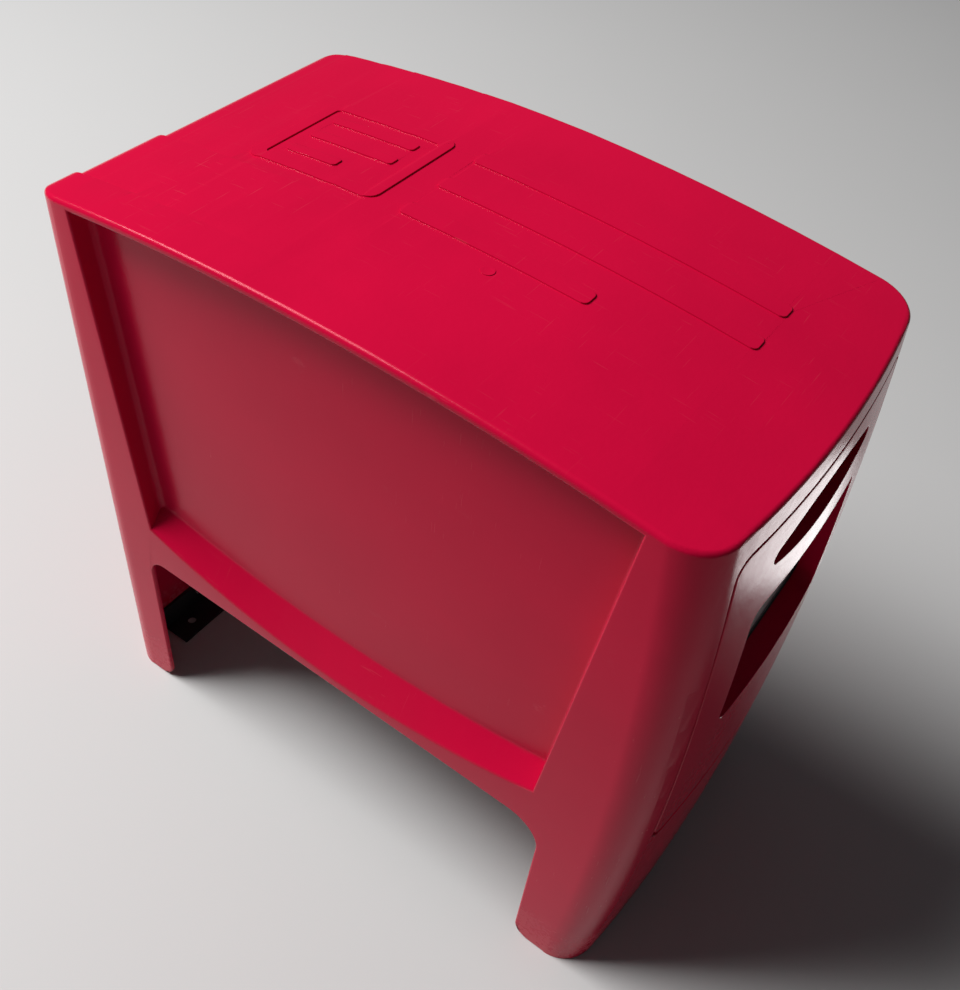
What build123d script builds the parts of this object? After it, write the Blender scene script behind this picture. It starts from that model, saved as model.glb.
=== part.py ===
"""A free-standing newspaper box with a drop-down door, in millimetres.

A moulded plastic shell stands on two full-width end panels. Its front end holds a door hinged at
its foot, with a window and a grip. X is the width, Y the depth with the door at -Y, Z is up.
The origin lies on the ground under the centre of the object's box.
"""
from build123d import *
import math
import os

# ---------------------------------------------------------------- shell form
WIDTH = 400.0              # across the flat sides
FRONT_Y = -360.0           # foremost point of the bowed front
REAR_Y = 360.0             # flat rear wall
CROWN_TOP = 727.0          # highest point of the arched top
CROWN_Y = 6.0              # where the arch is highest
CROWN_RADIUS = 2380.0
FRONT_RADIUS = 3600.0      # the front's curve seen from the side
FRONT_APEX_Z = 300.0       # height at which the front stands out furthest
BOW_RADIUS = 1206.0        # the front's curve seen from above
FRONT_CORNER = 42.0        # upright corners, seen from above
REAR_CORNER = 36.0
REAR_ROLL = 30.0           # radius of the top's roll down to the rear
REAR_ROLL_TURN = 56.0      # how far it turns before the edge
EDGE_ROUND = 5.0           # the top's rim
WALL = 5.0

# ---------------------------------------------------------------- side recesses
RECESS_DEPTH = 23.0
RECESS_Y = 20.0            # middle of the recess
RECESS_HALF_TOP = 290.0
RECESS_HALF_FOOT = 256.0
RECESS_LIP = 9.0           # the top's edge above the recess
RECESS_FOOT_Z = 304.0      # height of the sill's ends
RECESS_SAG = 46.0          # how far the sill hangs in the middle
SILL_RISE = 24.0           # how far the sill slopes up towards the panel
SILL_SAG_LOSS = 18.0       # the sill's inner edge hangs that much less
RECESS_ROUND = 7.0         # inner corners
RECESS_TOP_DROP = 14.0     # RECESS_HALF_TOP is measured that far below the crown

# ---------------------------------------------------------------- arches between the legs
ARCH_Z = 245.0
ARCH_FRONT_Y = -254.0
ARCH_REAR_Y = 288.0
ARCH_FRONT_ROUND = 40.0
ARCH_REAR_ROUND = 24.0
LEG_TOE_ROUND = 22.0

# ---------------------------------------------------------------- raised emblem on the top
EMBLEM_RISE = 1.6
EMBLEM_X = 29.0
EMBLEM_Y = 5.0
EMBLEM_LONG = 500.0        # across the whole emblem, along Y
EMBLEM_HIGH = 130.0        # along X
EMBLEM_LINE = 20.0         # width of a printed line
EMBLEM_LINES = 3
SHEET_WIDE = 150.0         # the folded sheet at its rear end
SHEET_BORDER = 13.0
SHEET_ROUND = 12.0
EMBLEM_SPACE = 28.0

# ---------------------------------------------------------------- door and its opening
DOOR_HALF = 157.0
DOOR_FOOT_Z = 281.0
DOOR_BELOW_CROWN = 52.0    # the door's head below the crown
DOOR_HEAD_Z = CROWN_TOP - DOOR_BELOW_CROWN
DOOR_ROUND = 16.0
DOOR_GAP = 3.0             # at the sides and the head
DOOR_FOOT_GAP = 6.0
DOOR_SKIN = 4.5
DOOR_FLANGE = 4.0
SEAT_GAP = 0.1             # between curved layers that lie on each other
REST_GAP = 0.3             # between faces of the door and of the box

# ---------------------------------------------------------------- stop frame behind the opening
FRAME_SET_BACK = 52.0      # its front face behind the foremost point
FRAME_Y = FRONT_Y + FRAME_SET_BACK
FRAME_SHEET = 3.0
FRAME_BESIDE = 21.0        # how far it reaches past the door at the sides and the foot
FRAME_ABOVE = 19.0         # and at the head
FRAME_HALF = DOOR_HALF + FRAME_BESIDE
FRAME_HEAD_Z = DOOR_HEAD_Z + FRAME_ABOVE
FRAME_FOOT_Z = DOOR_FOOT_Z - FRAME_BESIDE
FRAME_ROUND = 12.0
FRAME_REVEAL = 14.0        # how far it reaches in behind the door's flange
FRAME_SILL = 24.0          # the same at the foot
SEAL_THICK = 2.0
SEAL_WIDTH = 8.0
SEAL_OVER_HINGE = 16.0     # its ends above the hinge line
BOSS_BESIDE = 10.5         # from the door's side to a boss's middle
BOSS_RADIUS = 6.0
BOSS_ABOVE_FOOT = 69.0     # lowest boss above the door's foot
BOSS_BELOW_HEAD = 57.0     # highest boss below its head
BOSS_LEVELS = 3
SCREW_RADIUS = 2.0
SCREW_HEAD_RADIUS = 4.2
SCREW_HEAD = 2.2
SCREW_TIP = 4.0            # how far a bracket's screw comes through the frame
FRAME_SCREW = 14.0         # shank length

# ---------------------------------------------------------------- door hinge
HINGE_AHEAD = 30.0         # hinge line in front of the stop frame
HINGE_ABOVE_FOOT = 15.0
HINGE_Y = FRAME_Y - HINGE_AHEAD
HINGE_Z = DOOR_FOOT_Z + HINGE_ABOVE_FOOT
PIN_RADIUS = 3.0
PIN_PLAY = 0.05            # radial running clearance in the door
PIN_HEAD_RADIUS = 5.5
PIN_HEAD = 2.5
PIN_OVER = 1.5             # riveted end beyond the bracket
LUG_INSIDE = 45.0          # the door's inner lug from its side
LUG_X = DOOR_HALF - LUG_INSIDE
LUG_THICK = 4.0
LUG_HALF = 9.0
BRACKET_BESIDE = 4.0       # from the door's side to the bracket's cheek
BRACKET_X = DOOR_HALF + BRACKET_BESIDE
BRACKET_SHEET = 3.0
BRACKET_FOOT = 9.0
BRACKET_HALF = 13.0
BRACKET_SCREW_STEP = 7.0   # its screws above and below the pin
HEEL_DEPTH = 11.0          # the door's cheeks reach that far behind the hinge line
HEEL_RISE = 2.0            # and run to their full depth this far above it
FOOT_FLANGE_AHEAD = 2.0    # the foot flange ends that far in front of the hinge line
SPRING_WIRE = 1.0          # radius of the wire
SPRING_RADIUS = 6.0        # to the middle of the wire
SPRING_TURNS = 6
SPRING_PITCH = 2.4
SPRING_CLEAR = 2.0         # from the lug to the first turn
SPRING_LEG_IN = 0.1        # the leg runs that far inside the last turn's end

# ---------------------------------------------------------------- grip
GRIP_BELOW_HEAD = 42.0     # its middle below the door's head
GRIP_Z = DOOR_HEAD_Z - GRIP_BELOW_HEAD
GRIP_HALF = 110.0          # to the arcs' meeting points, before the tips are rounded
GRIP_HIGH = 44.0
GRIP_DEEP = 24.0
GRIP_TIP_ROUND = 8.0
GRIP_SEAT_DEPTH = 29.0     # rear face of the collar moulded round it, behind the foremost point
GRIP_SEAT_Y = FRONT_Y + GRIP_SEAT_DEPTH
GRIP_COLLAR = 4.0
GRIP_WALL = 2.5

# ---------------------------------------------------------------- window
WINDOW_HALF = 104.0
WINDOW_ABOVE_FOOT = 143.0  # its foot above the door's foot
WINDOW_FOOT_Z = DOOR_FOOT_Z + WINDOW_ABOVE_FOOT
WINDOW_ROUND = 14.0
WINDOW_SEAT_DEPTH = 26.0   # rear face of the reveal moulded round it, behind the foremost point
WINDOW_SEAT_Y = FRONT_Y + WINDOW_SEAT_DEPTH
WINDOW_MARGIN = 20.0       # width of the reveal's rear face
WINDOW_BELOW_GRIP = 9.0    # between that face and the grip's collar
WINDOW_HEAD_Z = GRIP_Z - GRIP_HIGH / 2 - GRIP_COLLAR - WINDOW_BELOW_GRIP - WINDOW_MARGIN
GASKET_THICK = 1.5
LENS_THICK = 3.0
LENS_MARGIN = 9.0
CARD_THICK = 0.8
RETAINER_SHEET = 2.0
RETAINER_SCREW = 5.0       # depth in the reveal
RETAINER_SPREAD = 0.8      # share of the window's half height to the outer screws

# ---------------------------------------------------------------- magnetic catch
MAGNET_HALF = 20.0
MAGNET_THICK = 5.0
MAGNET_HIGH = 8.0
MAGNET_BELOW_HEAD = 5.0    # its top below the door's head
MAGNET_HEAD_Z = DOOR_HEAD_Z - MAGNET_BELOW_HEAD
MAGNET_FOOT_Z = MAGNET_HEAD_Z - MAGNET_HIGH
STRIKE_SHEET = 1.5
STRIKE_HALF = 24.0
STRIKE_LONG = 14.0

# ---------------------------------------------------------------- paper compartment
PAN_ABOVE_FOOT = 41.0      # underside of the floor pan above the door's foot
PAN_Z = DOOR_FOOT_Z + PAN_ABOVE_FOOT
PAN_SHEET = 1.5
PANEL_X = WIDTH / 2 - RECESS_DEPTH - WALL   # inner face of the recessed side
PAN_BESIDE = 7.0           # from the pan to the recessed side
PAN_HALF = PANEL_X - PAN_BESIDE
PAN_SHORT = 26.0           # from the pan to the rear face
PAN_REAR_Y = REAR_Y - PAN_SHORT
PAN_FLANGE = 24.0
RAIL_SHEET = 2.0
RAIL_FOOT = 20.0
RAIL_HIGH = 24.0
RAIL_HALF = 232.0          # half its length, about the middle of the recess
RAIL_FRONT_Y = RECESS_Y - RAIL_HALF
RAIL_REAR_Y = RECESS_Y + RAIL_HALF
RAIL_END = 20.0            # outer screws from its ends
RAIL_SCREW = 6.0
RAIL_SCREW_Z = PAN_Z + 17.0
PAN_SCREW_X = PAN_HALF - 8.0
PAN_TIP = 3.0              # how far a screw reaches below the pan or the rail
STOP_Y = 112.0             # the plate behind the stack
STOP_HALF = PAN_HALF - 25.0
STOP_SCREW_INSIDE = 25.0   # its screws from its ends
STOP_SCREW_SHARE = 0.6     # and their place across its foot
STOP_HIGH = 110.0
STOP_FOOT = 26.0

# ---------------------------------------------------------------- anchor angles
ANCHOR_LEG = 40.0
ANCHOR_SHEET = 4.0
ANCHOR_HALF = WIDTH / 2 - 50.0
ANCHOR_HOLE_X = 120.0
ANCHOR_HOLE_RADIUS = 6.0
ANCHOR_SCREW_X = 90.0
ANCHOR_SCREW_Z = 26.0
ANCHOR_SCREW = 8.0
ANCHOR_SEAT_GAP = 0.6      # from a front screw's head to the middle of the leaning leg under it
ANCHOR_HOLE_SHIFT = 4.0    # the front holes lie that far behind the foot's middle

FAR = 900.0                # longer than anything here
HALF = WIDTH / 2
DOOR_REAR_Y = FRAME_Y - SEAL_THICK - REST_GAP
PIN_INNER_X = LUG_X
PIN_OUTER_X = BRACKET_X + BRACKET_SHEET + PIN_OVER


# ================================================================ helpers
def slab(x0, x1, y0, y1, z0, z1):
    """A box between two corners."""
    size = (x1 - x0, y1 - y0, z1 - z0)
    return Pos((x0 + x1) / 2, (y0 + y1) / 2, (z0 + z1) / 2) * Box(*size)


def rod_y(x, z, radius, y0, y1):
    """A round bar along Y."""
    return Pos(x, (y0 + y1) / 2, z) * Rot(90, 0, 0) * Cylinder(radius, y1 - y0)


def rod_x(y, z, radius, x0, x1):
    """A round bar along X."""
    return Pos((x0 + x1) / 2, y, z) * Rot(0, 90, 0) * Cylinder(radius, x1 - x0)


def rod_z(x, y, radius, z0, z1):
    """A round bar along Z."""
    return Pos(x, y, (z0 + z1) / 2) * Cylinder(radius, z1 - z0)


def front_y(x, z, depth):
    """Where the front lies, depth below its skin."""
    plan = FRONT_Y + BOW_RADIUS - math.sqrt((BOW_RADIUS - depth) ** 2 - x**2)
    axis = FRONT_Y + FRONT_RADIUS
    return axis - math.sqrt((axis - plan) ** 2 - (z - FRONT_APEX_Z) ** 2)


def upright_prism(half, z0, z1, radius, y0, y1):
    """A rectangle in XZ with rounded corners, from y0 to y1."""
    outline = Pos(0, (z0 + z1) / 2) * RectangleRounded(2 * half, z1 - z0, radius)
    return extrude(Plane((0, y1, 0), x_dir=(1, 0, 0), z_dir=(0, -1, 0)) * outline, y1 - y0)


def pair(solid):
    """The solid and its mirror image across the middle of the box."""
    return [solid, mirror(solid, Plane.YZ)]


def ring_prism(half, z0, z1, radius, inset, y0, y1):
    """A rectangular ring in XZ, inset wide."""
    outer = upright_prism(half, z0, z1, radius, y0, y1)
    inner_radius = max(radius - inset, 1.0)
    return outer - upright_prism(half - inset, z0 + inset, z1 - inset, inner_radius, y0 - 1, y1 + 1)


# ================================================================ shell form
def crown_z(y, depth=0.0):
    """Height of the arched top at y, depth below its skin."""
    radius = CROWN_RADIUS - depth
    return CROWN_TOP - CROWN_RADIUS + math.sqrt(radius**2 - (y - CROWN_Y) ** 2)


def front_block(inset):
    """The bowed front, swept about a level axis far behind it, with its upright corners."""
    half = HALF - inset
    apex = FRONT_Y + inset
    bow = BOW_RADIUS - inset
    at_side = apex + bow - math.sqrt(bow**2 - half**2)
    back = REAR_Y + 200
    path = Polyline((half, at_side), (half, back), (-half, back), (-half, at_side))
    front = ThreePointArc((-half, at_side), (0, apex), (half, at_side))
    section = make_face(path + front)
    corners = section.vertices().sort_by(Axis.Y)[:2]
    section = fillet(corners, FRONT_CORNER - inset)
    axis = Axis((0, FRONT_Y + FRONT_RADIUS, FRONT_APEX_Z), (1, 0, 0))
    below, above = 6.0, 9.0
    start = (Pos(0, 0, FRONT_APEX_Z) * section).rotate(axis, below)
    return revolve(start, axis=axis, revolution_arc=-(below + above))


def side_profile(inset):
    """The arched top and its roll down to the rear wall, as a slab across the whole width."""
    radius, roll = CROWN_RADIUS - inset, REAR_ROLL - inset
    rear, front, floor = REAR_Y - inset, FRONT_Y - 60, -40
    middle_z = CROWN_TOP - CROWN_RADIUS
    roll_y = REAR_Y - REAR_ROLL * math.sin(math.radians(REAR_ROLL_TURN))
    roll_z = middle_z + math.sqrt((CROWN_RADIUS - REAR_ROLL) ** 2 - (roll_y - CROWN_Y) ** 2)
    lean = math.atan2(roll_y - CROWN_Y, roll_z - middle_z)
    last = math.asin((rear - roll_y) / roll)

    def on_roll(turn):
        return (roll_y + roll * math.sin(turn), roll_z + roll * math.cos(turn))

    start = (front, crown_z(front, inset))
    arch = ThreePointArc(start, (CROWN_Y, crown_z(CROWN_Y, inset)), on_roll(lean))
    rolled = ThreePointArc(on_roll(lean), on_roll((lean + last) / 2), on_roll(last))
    walls = Polyline(on_roll(last), (rear, floor), (front, floor), start)
    return extrude(Plane.YZ * make_face(arch + rolled + walls), WIDTH, both=True)


def rear_block(inset):
    """The flat sides and rear with their upright corners."""
    half, rear, front = HALF - inset, REAR_Y - inset, FRONT_Y - 80
    outline = make_face(Polyline((-half, front), (half, front), (half, rear), (-half, rear), close=True))
    outline = fillet(outline.vertices().sort_by(Axis.Y)[-2:], REAR_CORNER - inset)
    return extrude(Pos(0, 0, -40) * outline, 900)


def form(inset, floor=0.0):
    """The box's outer form, moved in by inset everywhere but at the ground."""
    whole = front_block(inset) & rear_block(inset) & side_profile(inset)
    return whole - slab(-FAR, FAR, -FAR, FAR, -FAR, floor)


def recess_outline(grow, sill_up, sag):
    """The recess seen from the side: an arched head, leaning ends and a hanging sill."""
    lean = (RECESS_HALF_TOP - RECESS_HALF_FOOT) / (CROWN_TOP - RECESS_TOP_DROP - RECESS_FOOT_Z)
    foot = RECESS_FOOT_Z + sill_up - grow

    def half_at(z):
        return RECESS_HALF_FOOT + lean * (z - RECESS_FOOT_Z) + grow

    depth = RECESS_LIP - grow
    front_top_y = RECESS_Y - half_at(crown_z(RECESS_Y - RECESS_HALF_TOP, depth))
    rear_top_y = RECESS_Y + half_at(crown_z(RECESS_Y + RECESS_HALF_TOP, depth))
    front_top = (front_top_y, crown_z(front_top_y, depth))
    rear_top = (rear_top_y, crown_z(rear_top_y, depth))
    front_foot = (RECESS_Y - half_at(foot), foot)
    rear_foot = (RECESS_Y + half_at(foot), foot)
    head = ThreePointArc(front_top, (CROWN_Y, crown_z(CROWN_Y, depth)), rear_top)
    sill = ThreePointArc(rear_foot, (RECESS_Y, foot - sag), front_foot)
    return make_face(head + Line(rear_top, rear_foot) + sill + Line(front_foot, front_top))


def recess_tool(grow=0.0):
    """What is cut from the +X side; grow moves its walls outwards for the skin behind them."""
    outside, inside = HALF + 1.0, HALF - RECESS_DEPTH - grow
    slope = SILL_RISE / RECESS_DEPTH
    outer = recess_outline(grow, -slope, RECESS_SAG)
    inner = recess_outline(grow, SILL_RISE + slope * grow, RECESS_SAG - SILL_SAG_LOSS)
    tool = loft([Plane.YZ.offset(inside) * inner, Plane.YZ.offset(outside) * outer], ruled=True)
    return fillet(tool.faces().sort_by(Axis.X)[0].edges(), RECESS_ROUND + grow)


def arch_tool():
    """The gap between the end panels, right through both sides."""
    low = -20.0
    corners = [(ARCH_FRONT_Y, low), (ARCH_REAR_Y, low), (ARCH_REAR_Y, ARCH_Z), (ARCH_FRONT_Y, ARCH_Z)]
    face = make_face(Polyline(*corners, close=True))
    tops = face.vertices().sort_by(Axis.Y)[-2:].sort_by(Axis.X)
    face = fillet(tops[0], ARCH_FRONT_ROUND)
    rear_top = face.vertices().group_by(Axis.Y)[-1].sort_by(Axis.X)[-1]
    face = fillet(rear_top, ARCH_REAR_ROUND)
    return extrude(Plane.YZ * face, WIDTH, both=True)


def front_layer(solid, near, far):
    """The part of a solid that lies between two depths below the box's skin."""
    return (solid & form(near)) - form(far)


def screw_y(x, z, head_y, long, turn=1):
    """A pan-head screw along Y: its head starts at head_y and its shank runs towards -Y * turn."""
    head = rod_y(x, z, SCREW_HEAD_RADIUS, *sorted((head_y, head_y + turn * SCREW_HEAD)))
    shank = rod_y(x, z, SCREW_RADIUS, *sorted((head_y, head_y - turn * long)))
    return head + shank


def both_sides(xs):
    """Each distance at -X and at +X."""
    return [side * x for side in (-1, 1) for x in xs]


# ================================================================ shell
def printed_lines(wide, high, line, count):
    """Bars one above the other, the last one short, centred on the origin."""
    pitch = (high - line) / (count - 1)
    bars = []
    for index in range(count):
        long = wide if index < count - 1 else 0.6 * wide
        place = Pos((long - wide) / 2, (high - line) / 2 - index * pitch)
        bars.append(place * RectangleRounded(long, line, 0.3 * line))
    return bars


def emblem():
    """A raised folded sheet beside three lines of print, read from the rear to the front."""
    inside = SHEET_WIDE - 2 * SHEET_BORDER
    tall = EMBLEM_HIGH - 2 * SHEET_BORDER
    border = RectangleRounded(SHEET_WIDE, EMBLEM_HIGH, SHEET_ROUND)
    border -= RectangleRounded(inside, tall, SHEET_ROUND / 3)
    print_wide, print_high = inside - 2 * SHEET_BORDER, tall - 2 * SHEET_BORDER
    small = printed_lines(print_wide, print_high, SHEET_BORDER, EMBLEM_LINES)
    sheet_at = Pos((SHEET_WIDE - EMBLEM_LONG) / 2, 0)
    lines_wide = EMBLEM_LONG - SHEET_WIDE - EMBLEM_SPACE
    lines_at = Pos((EMBLEM_LONG - lines_wide) / 2, 0)
    faces = [sheet_at * face for face in [border] + small]
    faces += [lines_at * bar for bar in printed_lines(lines_wide, EMBLEM_HIGH, EMBLEM_LINE, EMBLEM_LINES)]
    plane = Plane((EMBLEM_X, EMBLEM_Y, CROWN_TOP - 60), x_dir=(0, -1, 0), z_dir=(0, 0, 1))
    blocks = [extrude(plane * face, 120) for face in faces]
    return front_layer(Part() + blocks, -EMBLEM_RISE, WALL / 2)


def frame_screw_places():
    """Middles of the bosses that hold the stop frame, as (x, z)."""
    low, high = DOOR_FOOT_Z + BOSS_ABOVE_FOOT, DOOR_HEAD_Z - BOSS_BELOW_HEAD
    levels = [low + (high - low) * step / (BOSS_LEVELS - 1) for step in range(BOSS_LEVELS)]
    return [(x, z) for x in both_sides([DOOR_HALF + BOSS_BESIDE]) for z in levels]


def rail_screw_places():
    """Where along Y the pan is screwed to its rails."""
    reach = RAIL_HALF - RAIL_END
    return [RECESS_Y - reach, RECESS_Y, RECESS_Y + reach]


def make_body_shell():
    """The one-piece moulded shell."""
    outer = form(0.0)
    tops = outer.faces().filter_by(lambda f: f.center().Z > DOOR_HEAD_Z and f.normal_at().Z > 0.5)
    seam = [edge for edge in tops[0].edges() if edge in tops[-1].edges()]
    rim = [edge for face in tops for edge in face.edges() if edge not in seam]
    outer = fillet(rim, EDGE_ROUND)
    cavity = form(WALL, floor=-10.0)
    for tool in pair(recess_tool()):
        outer -= tool
    for tool in pair(recess_tool(WALL)):
        cavity -= tool
    shell = outer - cavity - arch_tool()
    shell -= upright_prism(
        DOOR_HALF + DOOR_GAP, DOOR_FOOT_Z - DOOR_FOOT_GAP, DOOR_HEAD_Z + DOOR_GAP,
        DOOR_ROUND + DOOR_GAP, FRONT_Y - 20, FRAME_Y,
    )
    toes = shell.edges().filter_by(Axis.X).filter_by(
        lambda e: abs(e.center().Z) < 0.01 and ARCH_FRONT_Y - 1 < e.center().Y < ARCH_REAR_Y + 1
    )
    shell = fillet(toes, LEG_TOE_ROUND)
    bosses = [rod_y(x, z, BOSS_RADIUS, FRONT_Y, FRAME_Y) for x, z in frame_screw_places()]
    shell += (Part() + bosses) & form(WALL / 2)
    shell += emblem()
    for x, z in frame_screw_places():
        shell -= rod_y(x, z, SCREW_RADIUS, FRAME_Y - FRAME_SCREW + FRAME_SHEET, FRAME_Y + 1)
    rail_tip = PANEL_X - RAIL_SHEET + RAIL_SCREW
    for y in rail_screw_places():
        for hole in pair(rod_x(y, RAIL_SCREW_Z, SCREW_RADIUS, PANEL_X - 1, rail_tip)):
            shell -= hole
    for x in both_sides([ANCHOR_SCREW_X]):
        tip = REAR_Y - WALL - ANCHOR_SHEET + ANCHOR_SCREW
        shell -= rod_y(x, ANCHOR_SCREW_Z, SCREW_RADIUS, REAR_Y - WALL - 1, tip)
        face = front_y(x, ANCHOR_SCREW_Z, WALL + SEAT_GAP + ANCHOR_SHEET)
        face += ANCHOR_SEAT_GAP
        shell -= rod_y(x, ANCHOR_SCREW_Z, SCREW_RADIUS, face - ANCHOR_SCREW, face)
    return shell


# ================================================================ stop frame
def make_door_frame():
    """The stop frame: a rim that runs to the shell and a flange that the seal lies on."""
    flange = upright_prism(
        FRAME_HALF, FRAME_FOOT_Z, FRAME_HEAD_Z, FRAME_ROUND, FRAME_Y, FRAME_Y + FRAME_SHEET
    )
    flange -= upright_prism(
        DOOR_HALF - FRAME_REVEAL, DOOR_FOOT_Z + FRAME_SILL, DOOR_HEAD_Z - FRAME_REVEAL,
        DOOR_ROUND, FRAME_Y - 1, FRAME_Y + FRAME_SHEET + 1,
    )
    rim = ring_prism(
        FRAME_HALF, FRAME_FOOT_Z, FRAME_HEAD_Z, FRAME_ROUND, FRAME_SHEET, FRONT_Y, FRAME_Y
    )
    frame = flange + (rim & form(WALL + SEAT_GAP))
    for x, z in frame_screw_places():
        frame -= rod_y(x, z, SCREW_RADIUS, FRAME_Y - 1, FRAME_Y + FRAME_SHEET + 1)
    for x, z in bracket_screw_places():
        frame -= rod_y(x, z, SCREW_RADIUS, FRAME_Y - 1, FRAME_Y + FRAME_SHEET + 1)
    return frame


def make_door_seal():
    """A soft strip up both sides and across the head of the frame."""
    seal = ring_prism(
        DOOR_HALF, DOOR_FOOT_Z, DOOR_HEAD_Z, DOOR_ROUND, SEAL_WIDTH, FRAME_Y - SEAL_THICK, FRAME_Y
    )
    seal -= slab(-FAR, FAR, -FAR, FAR, 0, HINGE_Z + SEAL_OVER_HINGE)
    reach = MAGNET_HALF + REST_GAP
    return seal - slab(-reach, reach, -FAR, FAR, 0, MAGNET_HEAD_Z + REST_GAP)


def make_frame_screws():
    screws = []
    for x, z in frame_screw_places():
        screws.append(screw_y(x, z, FRAME_Y + FRAME_SHEET, FRAME_SCREW))
    return screws


def make_catch_magnet():
    front = FRAME_Y - MAGNET_THICK
    return slab(-MAGNET_HALF, MAGNET_HALF, front, FRAME_Y, MAGNET_FOOT_Z, MAGNET_HEAD_Z)


# ================================================================ hinge
def bracket_screw_places():
    """Middles of the brackets' screws, as (x, z)."""
    x = BRACKET_X + BRACKET_SHEET + BRACKET_FOOT / 2
    steps = (-BRACKET_SCREW_STEP, BRACKET_SCREW_STEP)
    return [(place, HINGE_Z + step) for place in both_sides([x]) for step in steps]


def make_hinge_bracket():
    """The +X bracket: a cheek that holds the pin and a foot on the frame."""
    low, high = HINGE_Z - BRACKET_HALF, HINGE_Z + BRACKET_HALF
    cheek_end = BRACKET_X + BRACKET_SHEET
    cheek = slab(BRACKET_X, cheek_end, FRONT_Y, FRAME_Y, low, high) & form(WALL + REST_GAP)
    foot = slab(BRACKET_X, cheek_end + BRACKET_FOOT, FRAME_Y - BRACKET_SHEET, FRAME_Y, low, high)
    bracket = cheek + foot - rod_x(HINGE_Y, HINGE_Z, PIN_RADIUS, BRACKET_X - 1, cheek_end + 1)
    for x, z in bracket_screw_places():
        bracket -= rod_y(x, z, SCREW_RADIUS, FRAME_Y - BRACKET_SHEET - 1, FRAME_Y + 1)
    return bracket


def make_bracket_screws():
    long = BRACKET_SHEET + FRAME_SHEET + SCREW_TIP
    head_y = FRAME_Y - BRACKET_SHEET
    return [screw_y(x, z, head_y, long, turn=-1) for x, z in bracket_screw_places()]


def make_hinge_pin():
    """The +X pin: headed inside the door, riveted in its bracket."""
    shank = rod_x(HINGE_Y, HINGE_Z, PIN_RADIUS, PIN_INNER_X - REST_GAP, PIN_OUTER_X)
    head_end = PIN_INNER_X - REST_GAP
    return shank + rod_x(HINGE_Y, HINGE_Z, PIN_HEAD_RADIUS, head_end - PIN_HEAD, head_end)


def make_door_spring():
    """The +X torsion spring, coiled round the pin, with one leg back to the frame."""
    long = SPRING_TURNS * SPRING_PITCH
    spring_start = LUG_X + LUG_THICK + SPRING_CLEAR
    helix = Helix(pitch=SPRING_PITCH, height=long, radius=SPRING_RADIUS)
    section = Plane(origin=helix @ 0, z_dir=helix % 0) * Circle(SPRING_WIRE)
    coil = sweep(section, path=helix)
    coil = Pos(spring_start, HINGE_Y, HINGE_Z) * Rot(0, 90, 0) * Rot(0, 0, 180) * coil
    end_x = spring_start + long - SPRING_LEG_IN
    leg = rod_y(end_x, HINGE_Z + SPRING_RADIUS, SPRING_WIRE, HINGE_Y, FRAME_Y - REST_GAP)
    return coil + leg


# ================================================================ door
def lens_prism(grow, y0, y1):
    """The grip's outline, two shallow arcs that meet in rounded tips."""
    half, high = GRIP_HALF + 2 * grow, GRIP_HIGH / 2 + grow
    top = ThreePointArc((-half, 0), (0, high), (half, 0))
    low = ThreePointArc((half, 0), (0, -high), (-half, 0))
    face = make_face(top + low)
    face = fillet(face.vertices(), GRIP_TIP_ROUND + grow)
    return extrude(Plane((0, y1, GRIP_Z), x_dir=(1, 0, 0), z_dir=(0, -1, 0)) * face, y1 - y0)


def retainer_places():
    """Middles of the retainer's screws, as (x, z)."""
    x = WINDOW_HALF + (LENS_MARGIN + WINDOW_MARGIN) / 2
    reach = (WINDOW_HEAD_Z - WINDOW_FOOT_Z) / 2
    middle = (WINDOW_HEAD_Z + WINDOW_FOOT_Z) / 2
    steps = (-RETAINER_SPREAD, 0, RETAINER_SPREAD)
    return [(place, middle + step * reach) for place in both_sides([x]) for step in steps]


def window_prism(margin, y0, y1):
    """The window's outline, margin larger all round."""
    return upright_prism(
        WINDOW_HALF + margin, WINDOW_FOOT_Z - margin, WINDOW_HEAD_Z + margin,
        WINDOW_ROUND + margin, y0, y1,
    )


def make_door_panel():
    """The moulded door: a bowed skin with a flange all round, hinge lugs and two reveals."""
    outer = form(0.0) & upright_prism(
        DOOR_HALF, DOOR_FOOT_Z, DOOR_HEAD_Z, DOOR_ROUND, FRONT_Y - 10, DOOR_REAR_Y
    )
    outer -= window_prism(0, FRONT_Y - 10, FRAME_Y)
    outer -= lens_prism(0, FRONT_Y - 10, FRAME_Y)
    hollow = form(DOOR_SKIN) & upright_prism(
        DOOR_HALF - DOOR_FLANGE, DOOR_FOOT_Z + DOOR_FLANGE, DOOR_HEAD_Z - DOOR_FLANGE,
        DOOR_ROUND - DOOR_FLANGE, FRONT_Y - 10, DOOR_REAR_Y + 1,
    )
    hollow -= window_prism(WINDOW_MARGIN, FRONT_Y - 20, WINDOW_SEAT_Y)
    hollow -= lens_prism(GRIP_COLLAR, FRONT_Y - 20, GRIP_SEAT_Y)
    lug_end = HINGE_Z + LUG_HALF
    lug = slab(LUG_X, LUG_X + LUG_THICK, FRONT_Y - 20, HINGE_Y + LUG_HALF, DOOR_FOOT_Z, lug_end)
    for solid in pair(lug):
        hollow -= solid
    inner_half = DOOR_HALF - DOOR_FLANGE
    door = outer - hollow
    door -= slab(-FAR, FAR, HINGE_Y + HEEL_DEPTH, 0, 0, HINGE_Z + HEEL_RISE)
    door -= slab(-inner_half, inner_half, HINGE_Y - FOOT_FLANGE_AHEAD, 0, 0, DOOR_FOOT_Z + DOOR_FLANGE + 1)
    for hole in pair(rod_x(HINGE_Y, HINGE_Z, PIN_RADIUS + PIN_PLAY, LUG_X - 1, DOOR_HALF + 1)):
        door -= hole
    for x, z in retainer_places():
        door -= rod_y(x, z, SCREW_RADIUS, WINDOW_SEAT_Y - RETAINER_SCREW, FRAME_Y)
    return door


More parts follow.
